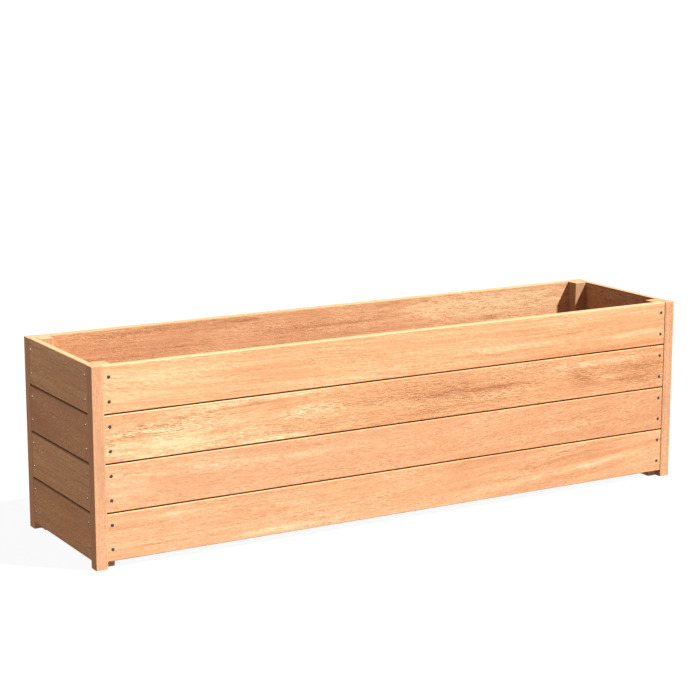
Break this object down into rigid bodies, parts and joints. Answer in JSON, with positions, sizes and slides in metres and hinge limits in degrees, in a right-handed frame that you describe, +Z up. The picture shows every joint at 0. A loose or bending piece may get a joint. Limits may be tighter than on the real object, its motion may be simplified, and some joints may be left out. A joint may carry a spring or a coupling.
{
  "type": "wooden planter",
  "caption": "Long rectangular hardwood planter of gapped horizontal boards screwed into rebated corner posts, with a slatted draining floor raised on the post feet.",
  "frame": {"origin": "on the ground, in the middle of the four feet", "axes": "+X along the length, -Y out of the front wall, +Z up"},
  "size_m": [2, 0.5, 0.573],
  "materials": {
    "post_hardwood": "planed hardwood, bare, fine upright grain",
    "board_hardwood": "planed hardwood, bare, figured grain along the board, eased edges",
    "floor_hardwood": "rough sawn hardwood, bare",
    "stainless_screws": "bright stainless steel"
  },
  "bodies": {
    "root": {"corner_post_front_left": "post_hardwood", "corner_post_front_right": "post_hardwood", "corner_post_back_left": "post_hardwood", "corner_post_back_right": "post_hardwood", "front_board_1": "board_hardwood", "front_board_2": "board_hardwood", "front_board_3": "board_hardwood", "front_board_4": "board_hardwood", "back_board_1": "board_hardwood", "back_board_2": "board_hardwood", "back_board_3": "board_hardwood", "back_board_4": "board_hardwood", "left_board_1": "board_hardwood", "left_board_2": "board_hardwood", "left_board_3": "board_hardwood", "left_board_4": "board_hardwood", "right_board_1": "board_hardwood", "right_board_2": "board_hardwood", "right_board_3": "board_hardwood", "right_board_4": "board_hardwood", "floor_bearer_front": "floor_hardwood", "floor_bearer_back": "floor_hardwood", "floor_slat_01": "floor_hardwood", "floor_slat_02": "floor_hardwood", "floor_slat_03": "floor_hardwood", "floor_slat_04": "floor_hardwood", "floor_slat_05": "floor_hardwood", "floor_slat_06": "floor_hardwood", "floor_slat_07": "floor_hardwood", "floor_slat_08": "floor_hardwood", "floor_slat_09": "floor_hardwood", "floor_slat_10": "floor_hardwood", "floor_slat_11": "floor_hardwood", "floor_slat_12": "floor_hardwood", "floor_slat_13": "floor_hardwood", "floor_slat_14": "floor_hardwood", "front_wall_screws": "stainless_screws", "back_wall_screws": "stainless_screws", "left_wall_screws": "stainless_screws", "right_wall_screws": "stainless_screws", "floor_slat_screws": "stainless_screws", "floor_bearer_screws": "stainless_screws"}
  },
  "joints": []
}
